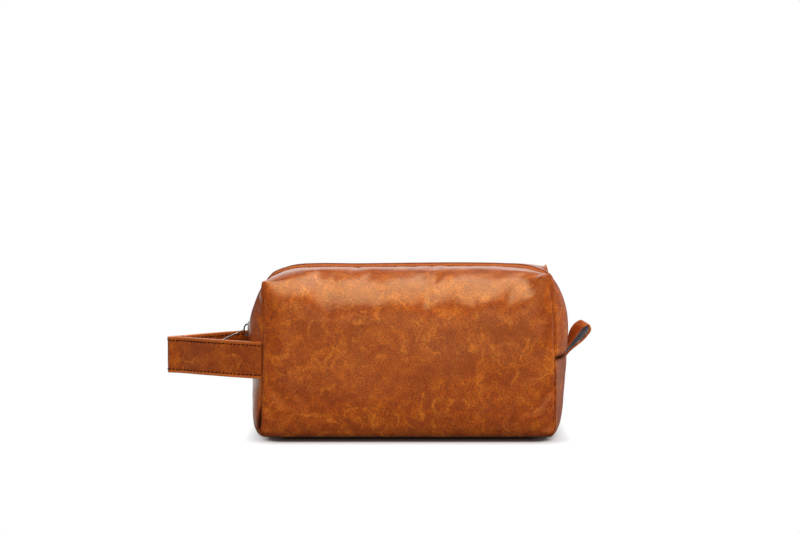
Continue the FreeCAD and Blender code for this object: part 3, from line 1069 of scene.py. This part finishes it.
# Leather colours, from the darkest patches to the palest
PATCHES = (
    (0.32, linear(145, 54, 17)),
    (0.45, linear(163, 67, 16)),
    (0.56, linear(182, 83, 18)),
    (0.68, linear(203, 105, 24)),
)
WORN = linear(134, 48, 18)
VEIN = linear(226, 126, 36)
DARK_DOT = linear(108, 44, 20)
PALE_DOT = linear(216, 110, 42)
RUBBED_EDGE = linear(208, 108, 44)
# Colour of the painted shade in seam grooves, slits, the strap's root and along the bottom
SEAM_SHADE = linear(34, 15, 11)
WAX_TINT = (1.0, 0.74, 0.34, 1)
# Each set of veins: (its scale, the scale of its gaps, a shift that makes it differ)
VEIN_SETS = ((22, 38, 0.0), (30, 48, 3.7), (42, 44, 8.1))
VEIN_WIDTH = 0.024


def leather_material():
    """Waxed, marbled, semi-gloss leather: brown patches, lighter veins and a fine grain."""
    m = Nodes(bpy.data.materials.new("marbled_leather"))
    rest = m.rest()
    broad = m.noise(rest, 34, 4, 0.6, 0.3)
    patchy = m.noise(rest, 110, 4, 0.56, 0.5)
    speckle = m.noise(rest, 860, 3, 0.75)
    grain = m.noise(rest, 1150, 2, 0.8)
    worn = m.times(m.shade(broad, 0.47, 0.6), 0.6)
    colour = m.paint(worn, m.ramp(patchy, *PATCHES), WORN)
    for scale, gap_scale, shift in VEIN_SETS:
        moved = m.add("ShaderNodeVectorMath", {0: rest, 1: (shift, shift, shift)}).outputs["Vector"]
        field = m.noise(moved, scale, 1.6, 0.5, 0.35)
        ridge = m.math("ABSOLUTE", m.math("SUBTRACT", field, 0.5))
        line = m.ramp(ridge, (0.0, (1, 1, 1)), (VEIN_WIDTH, (0, 0, 0)))
        broken = m.shade(m.noise(moved, gap_scale, 3, 0.6), 0.54, 0.62)
        colour = m.paint(m.times(m.times(line, broken), 0.72), colour, VEIN)
    colour = m.paint(m.times(m.shade(speckle, 0.52, 0.38), 0.8), colour, DARK_DOT)
    colour = m.paint(m.times(m.shade(grain, 0.5, 0.62), 0.45), colour, PALE_DOT)
    colour = m.paint(m.times(m.attribute("edge").outputs["Fac"], 0.6), colour, RUBBED_EDGE)
    # Painted shade: the seam mark darkens the leather in grooves, slits, at the strap's root and along
    # the bottom.
    seam = m.attribute("seam").outputs["Fac"]
    colour = m.paint(m.times(seam, 0.92), colour, SEAM_SHADE)
    roughness = m.math("ADD", 0.31, m.times(m.math("SUBTRACT", speckle, 0.5), 0.2))
    pores = m.add("ShaderNodeTexVoronoi", {"Vector": rest, "Scale": 1300.0}).outputs["Distance"]
    pitted = m.bump(pores, 0.3, 0.00014)
    return m.finish(
        Base_Color=colour,
        Roughness=m.math("ADD", roughness, m.times(seam, 0.5)),
        Specular_IOR_Level=m.math("SUBTRACT", 1.0, seam),
        Specular_Tint=WAX_TINT,
        Normal=m.bump(m.noise(rest, 120, 4, 0.6, 0.3), 0.2, 0.0006, pitted),
    )


def woven_material(name, dark, light, scale, on_cad=False):
    """Plain weave from two crossed sets of bands."""
    m = Nodes(bpy.data.materials.new(name))
    where = m.place() if on_cad else m.rest()
    x, y, z = m.split(where)
    along = m.math("SINE", m.times(m.math("ADD", x, y), scale))
    across = m.math("SINE", m.times(m.math("SUBTRACT", z, y), scale))
    level = m.math("ADD", m.times(m.times(along, across), 0.25), m.noise(where, 900, 3))
    return m.finish(
        Base_Color=m.ramp(level, (0.25, dark), (0.8, light)),
        Roughness=0.85,
        Specular_IOR_Level=0.1,
        Sheen_Weight=0.1,
        Normal=m.bump(level, 0.5, 0.0003),
    )


def plain_material(name, dark, light, scale, roughness, metallic=0.0, bump=0.2):
    """A metal or a matt finish whose colour and gloss vary slightly over its surface."""
    m = Nodes(bpy.data.materials.new(name))
    field = m.noise(m.place() if metallic else m.rest(), scale, 4, 0.6)
    return m.finish(
        Base_Color=m.ramp(field, (0.3, dark), (0.7, light)),
        Roughness=m.math("ADD", roughness - 0.06, m.times(field, 0.12)),
        Metallic=metallic,
        Specular_IOR_Level=0.5 * metallic,
        Normal=m.bump(field, bump, 0.0001),
    )


def make_materials():
    charcoal = linear(34, 33, 36), linear(74, 72, 76), 2600
    grey = linear(52, 48, 52), linear(144, 138, 142), 3400
    tan = linear(150, 70, 28), linear(200, 106, 46), 4200
    teeth = linear(92, 36, 14), linear(160, 74, 28), 500, 0.7
    thread = linear(46, 18, 12), linear(84, 36, 24), 2500, 0.8
    nickel = linear(150, 142, 134), linear(216, 210, 204), 700, 0.24, 1.0, 0.05
    return {
        "leather": leather_material(),
        "lining": woven_material("charcoal_lining", *charcoal),
        "webbing": woven_material("charcoal_webbing", *grey),
        "zip_tape": woven_material("tan_zip_tape", *tan),
        "cad_tape": woven_material("tan_tape_end", *tan, on_cad=True),
        "zip_teeth": plain_material("brown_teeth", *teeth),
        "thread": plain_material("dark_thread", *thread),
        "metal": plain_material("nickel", *nickel),
    }


# ---- slider and pull


def rod(name, path, radius, flat):
    """A bent rod along a path in the plane y = 0, with rounded ends."""
    rings = []
    for k, ((x, z), (nx, nz)) in enumerate(zip(path, -side_normals(path))):
        from_end = min(k, len(path) - 1 - k)
        size = radius * (0.55, 0.85, 1.0)[min(from_end, 2)]
        ring = [(x + nx * size * a, size * flat * b, z + nz * size * a) for a, b in circle(10)]
        rings.append(ring)
    return tube(name, rings)


def finish_metal(piece, body, *nodes, join=0.0):
    """Smooth a metal piece and let it ride on its body."""
    tidy_mesh(piece, join)
    add_modifier(piece, "SUBSURF", levels=1, render_levels=1)
    apply_modifiers(piece)
    piece.data.materials.clear()
    piece.data.materials.append(MATERIALS["metal"])
    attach(piece, body)
    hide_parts(*nodes)


def make_slider():
    """The zip's slider: a waisted plate on the teeth."""
    low, high = node_box("zip_slider_body")
    count = 400
    left_end = zip_line(count)[:80]
    share = np.interp((low[2] + high[2]) / 2, left_end[:, 1], np.arange(80) / (count - 1))
    half_share = SLIDER_LENGTH / 2 / ZIP_LENGTH
    shares = np.linspace(share - half_share, share + half_share, 2 * SLIDER_STEPS + 1)
    faces = zip_at(shares, -SLIDER_OUT), zip_at(shares, PLATE - SLIDER_OUT)
    rings = []
    for k, (outer, inner) in enumerate(zip(*faces)):
        along = abs(k / SLIDER_STEPS - 1)
        waist = mix(0.72, 1.0, smooth(0.1, 0.8, along)) * (1 - 0.45 * smooth(0.75, 1.0, along))
        half = SLIDER_HALF_WIDTH * waist
        corners = ((-half, outer), (half, outer), (half, inner), (-half, inner))
        rings.append([(x, y, z) for y, (x, z) in corners])
    body = tube("slider_plate", rings)
    add_modifier(body, "BEVEL", width=0.25 * MM, segments=2, limit_method="ANGLE")
    apply_modifiers(body)
    finish_metal(body, "zip_slider", "zip_slider_body")
    make_bridge(rings[SLIDER_STEPS][0][0] + 0.3)


def make_bridge(base):
    """The bent wire over the slider, which stands out from x = base to the pull's axis."""
    low, high = node_box("zip_slider_bridge")
    middle_z = (low[2] + high[2]) / 2 - BRIDGE_DROP
    half = (high[2] - low[2]) / 2 - BRIDGE_DROP
    out = PULL_PIVOT[0] + BRIDGE_OUT
    path = [(mix(base, out, share), middle_z + half * height) for share, height in BRIDGE_POINTS]
    bridge = rod("slider_bridge", spline(path, 30), BRIDGE_RADIUS, 1.2)
    finish_metal(bridge, "zip_slider", "zip_slider_bridge")


def make_pull():
    """The pull: a slim tongue with rolled edges and a wire eye round the bridge."""
    along = np.array((-math.cos(PULL_SLOPE), 0, -math.sin(PULL_SLOPE)))
    up = np.array((along[2], 0, -along[0]))
    rings = []
    for reach, half in PULL_ROWS:
        ring = []
        for side, height in circle(16):
            rim = PULL_HALF_THICKNESS * (1.0 + 0.35 * smooth(0.6, 0.95, abs(side)))
            ring.append(PULL_PIVOT + along * reach + np.array((0, side * half, 0)) + up * height * rim)
        rings.append(ring)
    finish_metal(tube("pull_tongue", rings), "zip_pull", "zip_pull")

    eye = []
    for a, b in circle(24):
        reach = PULL_EYE / 2 * (1 - 1.25 * a)
        eye.append(PULL_PIVOT + along * reach + np.array((0, EYE_HALF_WIDTH * b, 0)))
    rings = []
    for k, point in enumerate(eye):
        side = np.cross(eye[(k + 1) % len(eye)] - eye[k - 1], up)
        side /= np.linalg.norm(side)
        rings.append([point + (side * a + up * b) * EYE_WIRE for a, b in circle(8)])
    rings = np.array(rings + rings[:1])
    faces = tube_faces(*rings.shape[:2])[:-2]
    finish_metal(build_mesh("pull_eye", rings.reshape(-1, 3), faces), "zip_pull", join=0.01)


def finish_cad_nodes():
    """Materials for the CAD nodes that stay visible: the zip's end stops and tape tails."""
    for name, material in (
        ("zip_stops", "metal"),
        ("left_zip_tail", "cad_tape"),
        ("right_zip_tail", "cad_tape"),
    ):
        node = frame["nodes"][name]
        node.data.materials.clear()
        node.data.materials.append(MATERIALS[material])
    stops = frame["nodes"]["zip_stops"]
    stops.data.polygons.foreach_set("use_smooth", [False] * len(stops.data.polygons))
    add_modifier(stops, "BEVEL", width=0.25 * MM, segments=3, limit_method="ANGLE")


# ---- camera, light, floor


CAMERA_PLACE = (-0.0063, -1.890, 0.2591)
CAMERA_PITCH = 3.74
LENS = 102.3


def make_camera():
    camera = bpy.data.cameras.new("camera")
    camera.sensor_width = 36
    camera.lens = LENS
    camera.clip_end = 50
    holder = link("camera", camera)
    holder.location = CAMERA_PLACE
    holder.rotation_euler = (math.radians(90 - CAMERA_PITCH), 0, 0)
    bpy.context.scene.camera = holder


# Lights in metres and watts: place, target, (width, height), power, seen in reflections
LIGHTS = {
    "front_softbox": ((0.16, -0.17, 1.4), (0, 0, 0.08), (1.9, 1.05), 21, True),
    "front_fill": ((0.4, -2.5, 0.55), (0, 0, 0.05), (2.2, 1.2), 51, False),
    "right_fill": ((1.5, 0.1, 0.1), (0.12, 0, 0.06), (0.7, 0.5), 12, False),
    "right_panel": ((1.2, 1.0, 0.05), (0.12, 0, 0.04), (0.9, 0.7), 0.55, True),
    "left_panel": ((-0.9, 1.6, -0.12), (-0.12, 0, 0.03), (1.5, 0.3), 1.2, True),
    "left_fill": ((-1.5, 0.1, 0.1), (-0.12, 0, 0.06), (0.7, 0.5), 4, False),
    "back_panel_light": ((0, 1.8, 0.8), (0, 0, 0.13), (1.6, 1.3), 7.2, True),
}


def area_light(name, place, target, size, power, mirrored):
    lamp = bpy.data.lights.new(name, "AREA")
    lamp.shape = "RECTANGLE"
    lamp.size, lamp.size_y = size
    lamp.energy = power
    holder = link(name, lamp)
    holder.location = place
    direction = Vector(target) - Vector(place)
    holder.rotation_euler = direction.to_track_quat("-Z", "Y").to_euler()
    holder.visible_camera = False
    holder.visible_glossy = mirrored


# How bright the world is, by how far a direction points along +Y
WORLD_RANGE = {"From Min": 0.945, "From Max": 0.985, "To Min": 0.14, "To Max": 0.55}


def make_world():
    """White to the camera; to the bag a dim room with a brighter wall straight ahead."""
    m = Nodes(bpy.data.worlds.new("studio"), "Background")
    forward = m.split(m.add("ShaderNodeTexCoord").outputs["Generated"])["Y"]
    inputs = {"Value": forward} | WORLD_RANGE
    level = m.add("ShaderNodeMapRange", inputs, interpolation_type="SMOOTHSTEP").outputs["Result"]
    seen = m.add("ShaderNodeLightPath").outputs["Is Camera Ray"]
    strength = m.math("MAXIMUM", level, seen)
    bpy.context.scene.world = m.finish(Color=(1, 1, 1, 1), Strength=strength)
    bpy.context.scene.view_settings.view_transform = "Standard"


# A painted contact shadow around a box under the bag: dark floor colour, and a glow that fades in away
# from it; its stops are in tenths of a metre
PAINTED_SHADOW_BOX = (0.099, 0.066)
PAINTED_SHADOW_GLOW = ((0.0, 0.0), (0.13, 0.02), (0.21, 0.45), (0.33, 1.0))
PAINTED_SHADOW_COLOUR = (
    (0.0, (0.02, 0.012, 0.01)),
    (0.11, (0.05, 0.035, 0.03)),
    (0.20, (0.26, 0.22, 0.21)),
    (0.32, (0.0, 0.0, 0.0)),
)


def make_floor():
    """A pale floor that glows white up to the bag, with a soft painted contact shadow around it."""
    mesh = bpy.data.meshes.new("floor")
    reach = 6.0
    corners = [(-reach, -reach, 0), (reach, -reach, 0), (reach, reach, 0), (-reach, reach, 0)]
    mesh.from_pydata(corners, [], [(0, 1, 2, 3)])
    floor = link("floor", mesh)
    m = Nodes(bpy.data.materials.new("pale_floor"))
    beyond = []
    for where, half_size in zip(m.split(m.place()), PAINTED_SHADOW_BOX):
        side = m.math("SUBTRACT", m.math("ABSOLUTE", where), half_size)
        beyond.append(m.math("POWER", m.math("MAXIMUM", side, 0.0), 2.0))
    distance = m.times(m.math("SQRT", m.math("ADD", *beyond)), 10.0)
    # Painted shadow: near the bag the floor's glow fades out and its colour turns dark.
    glow_with_painted_shadow = m.ramp(distance, *((place, (grey, grey, grey)) for place, grey in PAINTED_SHADOW_GLOW))
    mesh.materials.append(
        m.finish(
            Base_Color=m.ramp(distance, *PAINTED_SHADOW_COLOUR),
            Roughness=0.9,
            Specular_IOR_Level=0.0,
            Emission_Color=(1, 1, 1, 1),
            Emission_Strength=glow_with_painted_shadow,
        )
    )
    floor.visible_glossy = False
    floor.visible_diffuse = False


make_camera()
make_world()
make_floor()
for light_name, light in LIGHTS.items():
    area_light(light_name, *light)

MATERIALS = make_materials()
for half_name, half_seed in (("front", 1), ("rear", 5)):
    make_shell_half(half_name, half_seed)
for end_side in (-1, 1):
    make_lower_end(end_side)
make_bottom()
for half_name in ("front", "rear"):
    make_tape(half_name)
    make_teeth(half_name)
    make_topstitch(half_name)
make_strap()
make_tab()
make_slider()
make_pull()
finish_cad_nodes()
